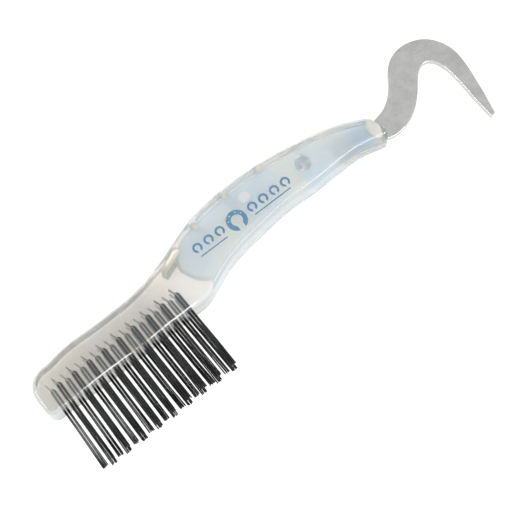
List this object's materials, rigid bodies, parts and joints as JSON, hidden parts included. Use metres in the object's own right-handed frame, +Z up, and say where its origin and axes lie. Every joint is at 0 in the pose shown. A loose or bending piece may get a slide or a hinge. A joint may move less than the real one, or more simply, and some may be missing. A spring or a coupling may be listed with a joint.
{
  "type": "hoof pick with brush",
  "caption": "Hand tool for cleaning hooves: a curved flat steel pick moulded into a clear plastic grip, whose other end is a stiff stapled brush.",
  "frame": {"origin": "middle of the underside of the part's box; the part lies on the far side face of its handle", "axes": "+X along the brush face from the heel towards the steel pick (longest extent), -Y the way the bristles point, +Z up through the thickness (shortest extent)"},
  "size_m": [0.2478, 0.0706, 0.018],
  "materials": {
    "clear_plastic": "clear, slightly milky polypropylene, moulded gloss",
    "milky_plastic": "milky translucent polypropylene",
    "steel": "tumbled satin stainless plate",
    "ink": "pad-printed ink, steel blue",
    "bristle": "extruded nylon filament, black, soft sheen",
    "wire": "drawn wire"
  },
  "bodies": {
    "root": {"handle": "clear_plastic", "grip_core": "milky_plastic", "pick": "steel", "grip_print": "ink", "tuft_near_1": "bristle", "tuft_near_2": "bristle", "tuft_near_3": "bristle", "tuft_near_4": "bristle", "tuft_near_5": "bristle", "tuft_near_6": "bristle", "tuft_near_7": "bristle", "tuft_near_8": "bristle", "tuft_near_9": "bristle", "tuft_middle_1": "bristle", "tuft_middle_2": "bristle", "tuft_middle_3": "bristle", "tuft_middle_4": "bristle", "tuft_middle_5": "bristle", "tuft_middle_6": "bristle", "tuft_middle_7": "bristle", "tuft_middle_8": "bristle", "tuft_middle_9": "bristle", "tuft_far_1": "bristle", "tuft_far_2": "bristle", "tuft_far_3": "bristle", "tuft_far_4": "bristle", "tuft_far_5": "bristle", "tuft_far_6": "bristle", "tuft_far_7": "bristle", "tuft_far_8": "bristle", "tuft_far_9": "bristle", "staple_near_1": "wire", "staple_near_2": "wire", "staple_near_3": "wire", "staple_near_4": "wire", "staple_near_5": "wire", "staple_near_6": "wire", "staple_near_7": "wire", "staple_near_8": "wire", "staple_near_9": "wire", "staple_middle_1": "wire", "staple_middle_2": "wire", "staple_middle_3": "wire", "staple_middle_4": "wire", "staple_middle_5": "wire", "staple_middle_6": "wire", "staple_middle_7": "wire", "staple_middle_8": "wire", "staple_middle_9": "wire", "staple_far_1": "wire", "staple_far_2": "wire", "staple_far_3": "wire", "staple_far_4": "wire", "staple_far_5": "wire", "staple_far_6": "wire", "staple_far_7": "wire", "staple_far_8": "wire", "staple_far_9": "wire"}
  },
  "joints": []
}
